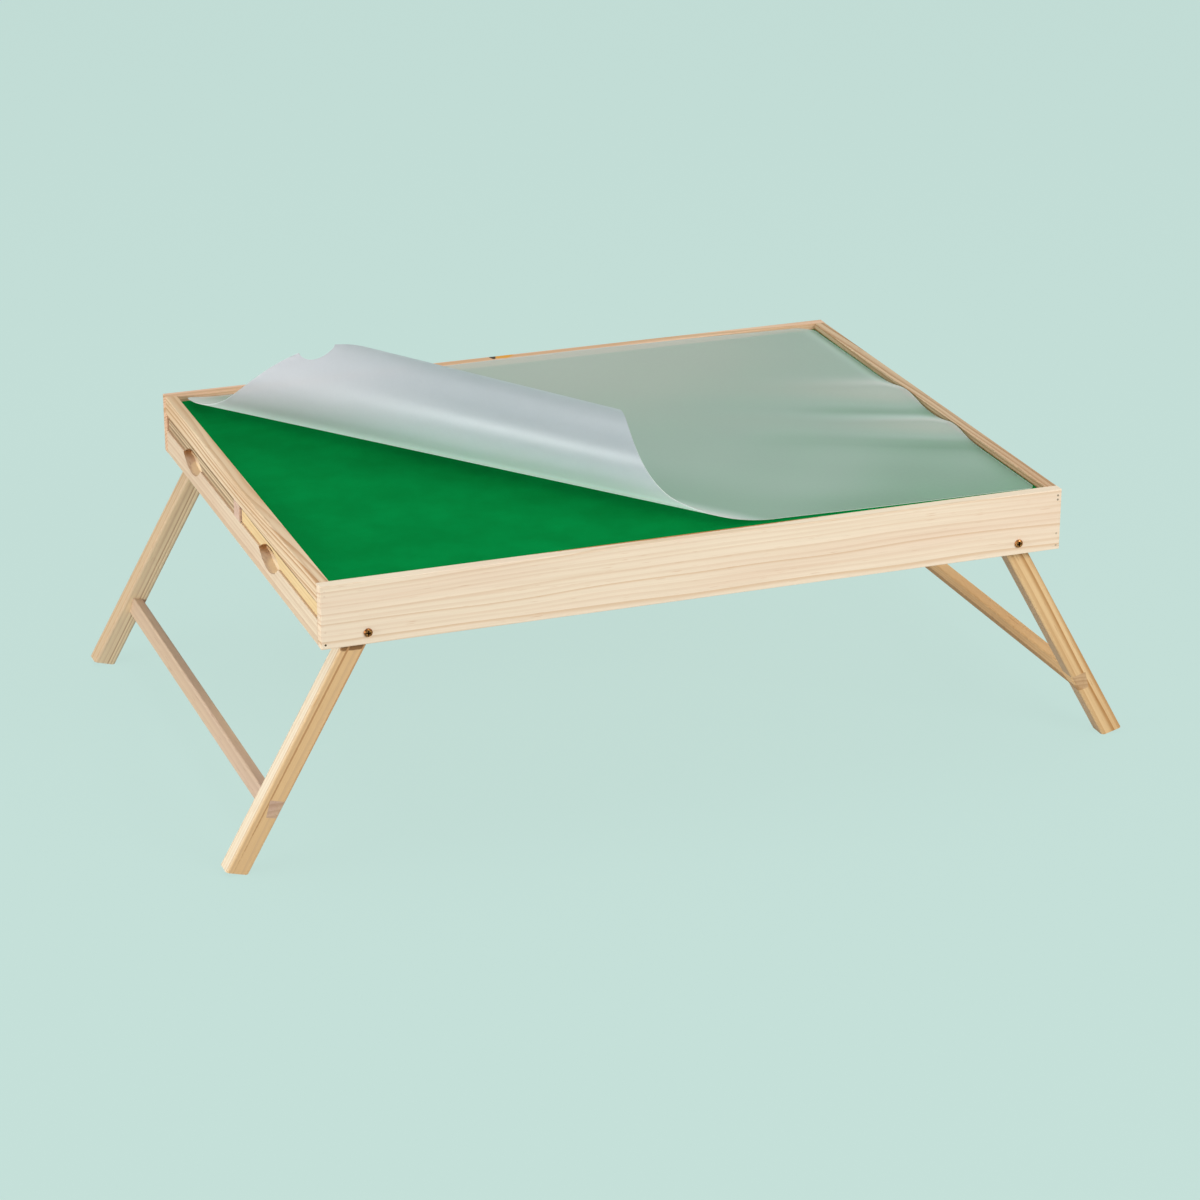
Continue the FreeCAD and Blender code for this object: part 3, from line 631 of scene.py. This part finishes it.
zinc = metal("zinc plate", screen(196, 198, 200), screen(150, 152, 154), 350.0, 0.34)[0]
finish("pivot_washers", zinc)
finish("pivot_nuts", zinc)
print("metal on screws, washers and nuts")

# %% [markdown]
# The nails are dull steel heads set flush in the wood. Filler covers the upper ones at the left end and half
# hides those at the right. All of them are one piece, so the filler too is placed by height and side.

# %% Nail finish
FILLER = screen(232, 208, 180)
MIDDLE = (-0.01, 0.01)
UPPER_NAILS, TOP_NAILS = (0.009, 0.011), (0.020, 0.025)
nails, tree, shader, skin, spot = metal("nail head", screen(120, 92, 66), screen(64, 46, 32), 900.0, 0.45)
place = add(tree, "SeparateXYZ", Vector=spot).outputs
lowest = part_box("rail_nails")[0].z
left_end = ramp(tree, place["X"], *MIDDLE, 1.0, 0.0)
right_end = maths(tree, "SUBTRACT", 1.0, left_end)
upper = ramp(tree, place["Z"], *(lowest + height for height in UPPER_NAILS))
half_hidden = ramp(tree, place["Z"], *(lowest + height for height in TOP_NAILS), 0.65, 0.35)
filled = maths(tree, "ADD", product(tree, left_end, upper), product(tree, right_end, half_hidden))
tree.links.new(mixed(tree, filled, skin, FILLER), shader.inputs["Base Color"])
tree.links.new(maths(tree, "SUBTRACT", 1.0, filled), shader.inputs["Metallic"])
finish("rail_nails", nails)
print("nails finished")

# %% [markdown]
# ## Surfaces from arrays
# The two soft pieces, felt and plastic, are thin sheets. Each is worked out as a grid of points in space; a
# copy of the grid is set off by the thickness, and a rim joins the two, so that the sheet is a closed solid.

# %% Closed sheet from a grid
SHARP_ANGLE = math.radians(50)


def closed_sheet(name, upper, lower):
    """A solid between two grids of points (rows, columns, 3): both faces, and a rim round the four edges."""
    rows, columns = upper.shape[:2]
    index = np.arange(rows * columns).reshape(rows, columns)
    under = index + rows * columns
    top = np.stack([index[:-1, :-1], index[:-1, 1:], index[1:, 1:], index[1:, :-1]], axis=-1).reshape(-1, 4)
    bottom = np.stack([under[:-1, :-1], under[1:, :-1], under[1:, 1:], under[:-1, 1:]], axis=-1).reshape(-1, 4)
    loop = np.concatenate([index[0, :-1], index[:-1, -1], index[-1, :0:-1], index[:0:-1, 0]])
    ahead = np.roll(loop, -1)
    rim = np.stack([loop, loop + rows * columns, ahead + rows * columns, ahead], axis=-1)
    faces = np.concatenate([top, bottom, rim])
    points = np.concatenate([upper.reshape(-1, 3), lower.reshape(-1, 3)])
    mesh = bpy.data.meshes.new(name)
    mesh.from_pydata(points.tolist(), [], faces.tolist())
    mesh.polygons.foreach_set("use_smooth", np.ones(len(faces), bool))
    mesh.set_sharp_from_angle(angle=SHARP_ANGLE)
    mesh.update()
    piece = bpy.data.objects.new(name, mesh)
    bpy.context.scene.collection.objects.link(piece)
    return piece


def waves(x, y, seed, size, count):
    """Smooth random height: a sum of sine waves of random direction and phase, with wavelengths near size."""
    draw = np.random.default_rng(seed)
    angle = draw.uniform(0, 2 * np.pi, count)
    number = 2 * np.pi / (size * draw.uniform(0.7, 1.6, count))
    phase = draw.uniform(0, 2 * np.pi, count)
    turn = x[..., None] * np.cos(angle) * number + y[..., None] * np.sin(angle) * number + phase
    return np.sin(turn).mean(axis=-1)


print("sheets can be built")

# %% [markdown]
# ## Felt bed
# The work surface is a short green felt glued to the panel. The nap is too fine to model hair by hair at this
# distance, so its relief is a soft unevenness of a tenth of a millimetre in the mesh.

# %% Felt piece
FELT_STEP = 0.006
NAP_RELIEF = 0.00010
felt_low, felt_high = (np.array(corner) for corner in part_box("felt_surface"))
along = np.linspace(felt_low[0], felt_high[0], int((felt_high[0] - felt_low[0]) / FELT_STEP))
back = np.linspace(felt_low[1], felt_high[1], int((felt_high[1] - felt_low[1]) / FELT_STEP))
x, y = np.meshgrid(along, back)
nap = NAP_RELIEF * (waves(x, y, seed=5, size=0.035, count=24) - 1.0)
felt_top = np.stack([x, y, felt_high[2] + nap], axis=-1)
felt_under = np.stack([x, y, np.full_like(x, felt_low[2])], axis=-1)
felt = closed_sheet("felt_bed", felt_top, felt_under)
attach(felt, "tray")
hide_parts("felt_surface")
print("felt bed", len(felt.data.polygons), "faces")

# %% [markdown]
# The fibres of the felt come from its finish: tangled fine noise for the nap, and slow clouds where the nap lies
# one way or the other. Felt has no gloss at all, so its roughness is as high as it goes.

# %% Felt finish
FIBRE_SIZE, TANGLE_SIZE, CLOUD_SIZE = 900.0, 520.0, 16.0
TANGLE_STRETCH = (1.0, 1.7, 1.0)
material, tree, shader = new_material("green felt")
spot = tree.nodes.new("ShaderNodeTexCoord").outputs["Object"]
fibre = noise(tree, spot, FIBRE_SIZE, 4.0, 0.7).outputs[0]
tangle = add(tree, "TexVoronoi", {"feature": "DISTANCE_TO_EDGE"}, Vector=stretched(tree, spot, TANGLE_STRETCH),
             Scale=TANGLE_SIZE).outputs[0]
cloud = noise(tree, spot, CLOUD_SIZE, 5.0, 0.65).outputs[0]
green = mixed(tree, ramp(tree, cloud, 0.3, 0.72), screen(0, 131, 59), screen(0, 145, 69))
green = mixed(tree, ramp(tree, fibre, 0.3, 0.75, 0.0, 0.5), green, screen(0, 110, 48))
tree.links.new(green, shader.inputs["Base Color"])
nap_height = maths(tree, "ADD", fibre, product(tree, tangle, 0.5))
bump = add(tree, "Bump", Strength=0.5, Distance=0.0005, Height=nap_height)
tree.links.new(bump.outputs[0], shader.inputs["Normal"])
shader.inputs["Roughness"].default_value = 1.0
shader.inputs["Specular IOR Level"].default_value = 0.02
felt.data.materials.append(material)
print("felt finish has", len(tree.nodes), "nodes")

# %% [markdown]
# ## Curled cover sheet
# A frosted plastic sheet covers the unfinished puzzle. Its front left corner has been rolled back, and plastic
# can bend but not stretch, so the roll has to be a developable surface: straight lines that all aim at one far
# apex, like a very slender cone. A cloth simulation would stretch it and never come out the same twice. Beyond a
# slanted lift-off line each point goes up a wide ramp, round a tight turn and into a tail, at the same distance
# from the line as it had in the flat sheet.

# %% Roll as a mapping of the flat sheet
inner_low = np.array([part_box("left_upper_strip")[1].x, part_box("front_rail")[1].y])
inner_high = np.array([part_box("right_upper_strip")[0].x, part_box("rear_rail")[0].y])
SHEET_LEFT = inner_low[0] + 0.0103
SHEET_RIGHT = inner_high[0] - 0.0028
SHEET_FRONT = inner_low[1] + 0.0235
SHEET_REAR = inner_high[1] - 0.0020
SHEET_SKEW = 0.0070
SHEET_THICK = 0.0006
SHEET_LIFT = 0.0014
SHEET_LEVEL = felt_high[2] + 0.0002 + SHEET_THICK / 2
CURL = math.radians(53.2)
LIFT_X = SHEET_LEFT + 0.0425
LIFT_END_X = LIFT_X + (SHEET_REAR - SHEET_FRONT) / math.tan(CURL)
RAMP_RADIUS, RAMP_TURN = 0.157, math.radians(39.5)
ROLL_RADIUS, ROLL_TURN = 0.047, math.radians(170.0)
TAIL_RADIUS, TAIL_TURN = 0.043, 2 * math.pi
APEX_DISTANCE = 2.730
APEX_RUN = APEX_DISTANCE + 0.400


def roll_profile(length):
    """Outward distance and height after a length of sheet: three arcs end to end, each begun at the last slope."""
    out, up, slope = np.zeros_like(length), np.zeros_like(length), np.zeros_like(length)
    begun = 0.0
    for radius, turn in ((RAMP_RADIUS, RAMP_TURN), (ROLL_RADIUS, ROLL_TURN), (TAIL_RADIUS, TAIL_TURN)):
        turned = np.clip((length - begun) / radius, 0.0, turn)
        out = out + radius * (np.sin(slope + turned) - np.sin(slope))
        up = up + radius * (np.cos(slope) - np.cos(slope + turned))
        slope = slope + turned
        begun += radius * turn
    return out, up


def rolled(x, y):
    """Points of the sheet past the lift-off line, carried round the cone, and how far past it they are.

    Run and depth are distances along and past the lift-off line. The angle of the straight line from the apex
    to the point, times the apex distance, is the length of sheet along the profile; the point's distance from
    the apex scales the profile.
    """
    run = (x - LIFT_X) * math.cos(CURL) + (SHEET_REAR - y) * math.sin(CURL)
    depth = (SHEET_REAR - y) * math.cos(CURL) - (x - LIFT_X) * math.sin(CURL)
    past = np.maximum(depth, 0.0)
    out, up = roll_profile(np.arctan2(past, APEX_RUN - run) * APEX_DISTANCE)
    scale = np.hypot(APEX_RUN - run, past) / APEX_DISTANCE
    along = APEX_RUN - scale * np.sqrt(APEX_DISTANCE**2 - out**2 - up**2)
    rolled_x = LIFT_X + along * math.cos(CURL) - scale * out * math.sin(CURL)
    rolled_y = SHEET_REAR - along * math.sin(CURL) - scale * out * math.cos(CURL)
    return np.stack([rolled_x, rolled_y, SHEET_LEVEL + SHEET_LIFT + scale * up], axis=-1), depth


print("roll turns through", round(math.degrees(RAMP_TURN + ROLL_TURN)), "degrees before its tail")

# %% [markdown]
# The part that still lies on the felt isn't quite flat. A sheet this thin keeps a memory of its own roll: it
# stands a few millimetres clear along the rear rail, and two low crests run in from its right edge with
# furrows between them where it touches the felt. All of it fades at the lift-off line, where the pull of the
# roll holds the sheet just clear of the felt.

# %% Swells of the flat part
CRESTS = ((0.0078, 0.0380, 0.040), (0.0068, -0.0950, 0.034))  # height, place and half width of each
FURROWS = ((1.0, -0.033, 0.036), (1.0, -0.152, 0.040), (0.7, -0.270, 0.080))  # depth, place and half width
SLANT, CREST_LENGTH, FURROW_LENGTH, EDGE_LENGTH = 0.44, 0.09, 0.22, 0.014
CUSHION, CUSHION_EDGE, CUSHION_LOSS = 0.0021, 0.06, 0.95
HUMP, HUMP_X, HUMP_WIDTH, HUMP_DEPTH = 0.0052, 0.06, 0.30, 0.24
RIPPLE = 0.0004
EASE_LENGTH = 0.12


def bell(value, middle, width):
    """A smooth hump of height 1: e to the minus square of the distance from the middle, in widths."""
    return np.exp(-(((value - middle) / width) ** 2))


def swell(x, y, depth):
    """Height above the felt: a low cushion, a long hump at the rear, crests and furrows at the right edge."""
    from_right = np.maximum(SHEET_RIGHT - x, 0.0)
    inward = y - SLANT * from_right
    fade = np.exp(-((from_right / CREST_LENGTH) ** 1.5))
    crests = sum(height * bell(inward, place, width) for height, place, width in CRESTS)
    furrows = sum(share * bell(inward, place, width) for share, place, width in FURROWS)
    cushion = CUSHION * (1 - bell(y, SHEET_FRONT - SHEET_SKEW, CUSHION_EDGE))
    cushion = cushion * (1 - CUSHION_LOSS * np.minimum(furrows, 1.0) * bell(from_right, 0.0, FURROW_LENGTH))
    hump = HUMP * bell(x, HUMP_X, HUMP_WIDTH) * bell(y, SHEET_REAR, HUMP_DEPTH)
    ripple = RIPPLE * (1 + waves(x, y, seed=8, size=0.16, count=9))
    down = 1 - bell(from_right, 0.0, EDGE_LENGTH)
    ease = np.clip(-depth / EASE_LENGTH, 0.0, 1.0)
    ease = ease * ease * (3 - 2 * ease)
    return (1 - ease) * SHEET_LIFT + ease * (down * (cushion + hump + ripple) + fade * crests)


print("swells with", len(CRESTS), "crests")

# %% [markdown]
# Now the sheet itself. Its flat cut is a rectangle with rounded corners, a round thumb notch in the middle of
# its left edge, and a front edge that runs a little out of square. Rows of points follow the cut, closer together
# at the corners and the notch, and each point is either rolled or left lying. The flat area is worked out as well,
# because it is what a maker would cut.

# %% Cover sheet piece
CORNER = 0.010
NOTCH_RADIUS, NOTCH_DEPTH = 0.0212, 0.0185
ROW_COUNT, COLUMN_COUNT = 152, 206
notch_y = (SHEET_FRONT + SHEET_REAR) / 2
notch_out = NOTCH_RADIUS - NOTCH_DEPTH
notch_half = math.sqrt(NOTCH_RADIUS**2 - notch_out**2)
quarter = 1 - np.cos(np.linspace(0, np.pi / 2, 9))
half_round = -np.cos(np.linspace(0, np.pi, 25))
rows = np.unique(np.round(np.concatenate([
    np.linspace(SHEET_FRONT, SHEET_REAR, ROW_COUNT),
    SHEET_FRONT + CORNER * quarter,
    SHEET_REAR - CORNER * quarter,
    notch_y + notch_half * half_round,
]), 5))
from_end = np.clip(CORNER - np.minimum(rows - SHEET_FRONT, SHEET_REAR - rows), 0.0, CORNER)
rounding = CORNER - np.sqrt(CORNER**2 - from_end**2)
bite = np.sqrt(np.clip(NOTCH_RADIUS**2 - (rows - notch_y) ** 2, notch_out**2, None)) - notch_out
row_left = SHEET_LEFT + rounding + bite
row_right = SHEET_RIGHT - rounding
row_width = row_right - row_left
share = np.linspace(0, 1, COLUMN_COUNT)
x = row_left[:, None] + row_width[:, None] * share
y = np.repeat(rows[:, None], len(share), axis=1)
skewed = np.clip((x - LIFT_END_X) / (SHEET_RIGHT - LIFT_END_X), 0.0, 1.0)
y = y - SHEET_SKEW * skewed * (SHEET_REAR - y) / (SHEET_REAR - SHEET_FRONT)
middle, depth = rolled(x, y)
lying = np.stack([x, y, SHEET_LEVEL + swell(x, y, depth)], axis=-1)
middle = np.where((depth > 0)[..., None], middle, lying)
normal = np.cross(np.gradient(middle, axis=1), np.gradient(middle, axis=0))
normal /= np.linalg.norm(normal, axis=-1, keepdims=True)
cover = closed_sheet("cover_film", middle + normal * SHEET_THICK / 2, middle - normal * SHEET_THICK / 2)
flat_area = float(((row_width[1:] + row_width[:-1]) / 2 * np.diff(rows)).sum())
flat_area += float(SHEET_SKEW * (SHEET_RIGHT - LIFT_END_X) / 2)
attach(cover, "cover")
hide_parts("cover_sheet")

# %% [markdown]
# ## Frosted plastic
# Frosted film is milky: part of the light scatters back from its grain, the rest goes through to the felt.
# Where it touches the felt the green shows best, and the further it stands clear the greyer it turns. So the
# finish is a pale, softly glossy surface that is partly see-through, and more milky the higher it stands. Glass
# with a rough surface would do the same, but slowly and with much more noise.

# %% Film milk group
TOUCHING = (0.0, 0.003, 0.40, 0.62)  # from one height to the next, and the milk at both
JUST_CLEAR = (0.003, 0.014, 0.0, 0.13)
WELL_CLEAR = (0.012, 0.080, 0.0, 0.21)
FOOT_BEGINS, FOOT_ENDS = (0.009, 0.012), (0.022, 0.050)
GRAIN_SIZE = 260.0
film_milk, film_in, film_out = new_group("film milk", [
    ("Spot", "Vector", None), ("Level", "Float", 0.0), ("Polish", "Float", 0.4),
], [("Milk", "Float"), ("Roughness", "Float"), ("Foot", "Float")])
height = add(film_milk, "SeparateXYZ", Vector=film_in["Spot"]).outputs["Z"]
height = maths(film_milk, "SUBTRACT", height, film_in["Level"])
milk = ramp(film_milk, height, *TOUCHING)
milk = maths(film_milk, "ADD", milk, ramp(film_milk, height, *JUST_CLEAR))
milk = maths(film_milk, "ADD", milk, ramp(film_milk, height, *WELL_CLEAR))
foot = product(film_milk, ramp(film_milk, height, *FOOT_BEGINS), ramp(film_milk, height, *FOOT_ENDS, 1.0, 0.0))
grain = noise(film_milk, film_in["Spot"], GRAIN_SIZE, 3.0, 0.6).outputs[0]
milk = maths(film_milk, "ADD", milk, ramp(film_milk, grain, 0.2, 0.8, -0.01, 0.01))
rough = maths(film_milk, "ADD", film_in["Polish"], ramp(film_milk, grain, 0.2, 0.8, -0.03, 0.03))
for label, value in (("Milk", milk), ("Roughness", rough), ("Foot", foot)):
    film_milk.links.new(value, film_out[label])
print("film milk has", len(film_milk.nodes), "nodes")

# %% [markdown]
# Only the face that a ray meets first counts, or a sheet with two faces would hide the felt twice, and shadow rays
# mostly pass, because real film spreads light and hardly stops it. The upper face is matt and pale, with a little
# painted green light close to the felt. The underside, which the roll turns outward, is greyer where it faces up
# and paler where it faces down: painted light for what comes through the roll. It is duller at the left end and
# painted there in one even tone, and at the foot of the roll a painted glow stands in for the light that runs
# inside the film. The sheared edge is the whitest.

# %% Film finish
LEFT_END, LEFT_DULLING = (-0.36, -0.16), 0.22
AT_A_SLANT = (0.67, 0.92, 0.0, 0.92)
SHADOW_LOSS = 0.55
FOOT_LIGHT = screen(212, 224, 218)
film_settings = {"IOR": 1.52, "Specular IOR Level": 0.7, "Subsurface Radius": (1.0, 1.0, 1.0),
                 "Subsurface Scale": 0.0012, "Emission Color": FOOT_LIGHT}


def film(name, measure, span, tints, left_tone_and_light, polish, glow_through, foot_glow):
    """One face of the film: milkier with height and at a slant, hidden from behind, and thin to shadow rays.

    The tint goes from the first to the second while the upright part of the measure, a place or a facing, crosses
    the span, and turns into the left tint at the left end; these tints are mostly painted light. Glow through is the
    share of light that wanders to the other face, and foot glow is the strength of the painted glow at the foot of
    the roll.
    """
    material, tree, shader = new_material(name)
    spot = tree.nodes.new("ShaderNodeTexCoord").outputs
    body = add(tree, "Group", {"node_tree": film_milk}, Spot=spot["Object"], Level=SHEET_LEVEL,
               Polish=polish).outputs
    upright = add(tree, "SeparateXYZ", Vector=spot[measure]).outputs["Z"]
    first, second = (screen(*tint) for tint in tints)
    tint = mixed(tree, ramp(tree, upright, *span), first, second)
    to_left = ramp(tree, add(tree, "SeparateXYZ", Vector=spot["Object"]).outputs["X"], *LEFT_END, 1.0, 0.0)
    slant = ramp(tree, add(tree, "LayerWeight", Blend=0.5).outputs["Facing"], *AT_A_SLANT)
    milk = maths(tree, "MULTIPLY_ADD", maths(tree, "SUBTRACT", 1.0, body["Milk"]), slant, body["Milk"])
    behind = tree.nodes.new("ShaderNodeNewGeometry").outputs["Backfacing"]
    shadow = tree.nodes.new("ShaderNodeLightPath").outputs["Is Shadow Ray"]
    thinned = product(tree, milk, maths(tree, "MULTIPLY_ADD", shadow, -SHADOW_LOSS, 1.0))
    varying = {
        "Base Color": mixed(tree, to_left, tint, screen(*left_tone_and_light)),
        "Roughness": maths(tree, "MULTIPLY_ADD", to_left, LEFT_DULLING, body["Roughness"]),
        "Alpha": product(tree, thinned, maths(tree, "SUBTRACT", 1.0, behind)),
        "Emission Strength": product(tree, body["Foot"], foot_glow),
    }
    for label, value in (varying | film_settings | {"Subsurface Weight": glow_through}).items():
        feed(tree, shader.inputs[label], value)
    cover.data.materials.append(material)


# Painted light: the upper face is greener close to the felt, and the underside paler where it faces down, evened at
# its left end and glowing at the foot of the roll.
above_felt = (SHEET_LEVEL + 0.002, SHEET_LEVEL + 0.007)
film("frosted film upper face", "Object", above_felt, ((198, 215, 207), (210, 215, 207)),
     left_tone_and_light=(210, 215, 207), polish=0.47, glow_through=0.0, foot_glow=0.0)
film("frosted film underside", "Normal", (-0.6, 0.5), ((224, 233, 238), (173, 181, 185)),
     left_tone_and_light=(194, 195, 199), polish=0.38, glow_through=0.8, foot_glow=0.42)
edge_material, tree, shader = new_material("sheared film edge")
spot = tree.nodes.new("ShaderNodeTexCoord").outputs["Object"]
grain = noise(tree, spot, 700.0, 2.0, 0.6).outputs[0]
tree.links.new(mixed(tree, grain, screen(206, 214, 212), screen(236, 240, 238)), shader.inputs["Base Color"])
shader.inputs["Roughness"].default_value = 0.4
cover.data.materials.append(edge_material)
UPPER, UNDER, EDGE = 0, 1, 2
face_count = (len(rows) - 1) * (len(share) - 1)
slots = np.full(len(cover.data.polygons), EDGE, np.int32)
slots[:face_count] = UPPER
slots[face_count:2 * face_count] = UNDER
cover.data.polygons.foreach_set("material_index", slots)
print("film finish on", 2 * face_count, "faces")
